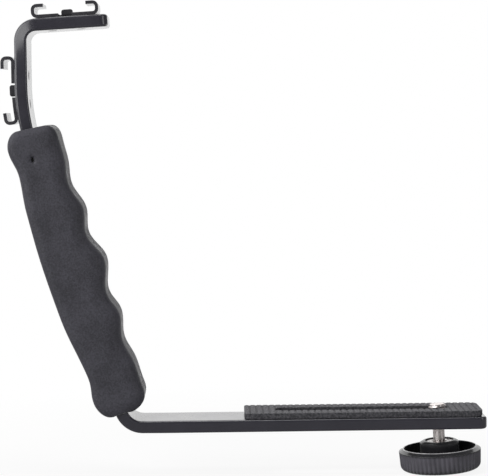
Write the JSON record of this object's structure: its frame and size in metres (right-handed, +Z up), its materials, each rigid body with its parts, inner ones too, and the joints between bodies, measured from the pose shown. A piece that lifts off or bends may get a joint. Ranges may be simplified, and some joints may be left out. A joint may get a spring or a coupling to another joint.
{
  "type": "camera flash bracket",
  "caption": "C-shaped bar with a moulded finger grip, accessory shoes on its upper arm and upright, a rubber camera pad and a captive slot screw with a fluted knob.",
  "frame": {"origin": "on the rubber pad's top face, on the centre line, halfway between the pad's inner end and its slot", "axes": "+X along the bottom arm towards its free end, +Z up out of the pad towards the camera, -Y the front from which the open side of the shoes faces"},
  "size_m": [0.1736, 0.03, 0.172],
  "materials": {
    "bar_enamel": "satin black coating on flat steel or aluminium bar",
    "grip_rubber": "matte black rubber with a fine moulded grain",
    "pad_rubber": "ribbed black rubber",
    "shoe_steel": "semi-gloss black coated sheet steel",
    "rivet_steel": "black coated steel",
    "bright_steel": "bright plated steel",
    "insert_brass": "turned and knurled",
    "knob_plastic": "black moulded plastic with a fluted wall"
  },
  "bodies": {
    "bracket": {"bracket_bar": "bar_enamel", "grip": "grip_rubber", "camera_pad": "pad_rubber", "top_shoe": "shoe_steel", "top_shoe_rivet_1": "rivet_steel", "top_shoe_rivet_2": "rivet_steel", "side_shoe": "shoe_steel", "side_shoe_rivet_1": "rivet_steel", "side_shoe_rivet_2": "rivet_steel"},
    "screw_carriage": {"retaining_washer": "bright_steel"},
    "screw_lift": {"thrust_washer": "bright_steel"},
    "screw_and_knob": {"camera_screw": "bright_steel", "knob": "knob_plastic", "knob_insert": "insert_brass"}
  },
  "joints": [
    {"name": "screw_slide", "type": "slide", "parent": "bracket", "child": "screw_carriage", "axis": [1, 0, 0], "range_m": [-0.05627, 0]},
    {"name": "screw_push", "type": "slide", "parent": "screw_carriage", "child": "screw_lift", "axis": [-0.0558, 0, 0.9984], "range_m": [0, 0.0047]},
    {"name": "knob_turn", "type": "hinge", "parent": "screw_lift", "child": "screw_and_knob", "pos_m": [0.06535, 0, -0.00465], "axis": [-0.0558, 0, 0.9984], "continuous": true}
  ]
}
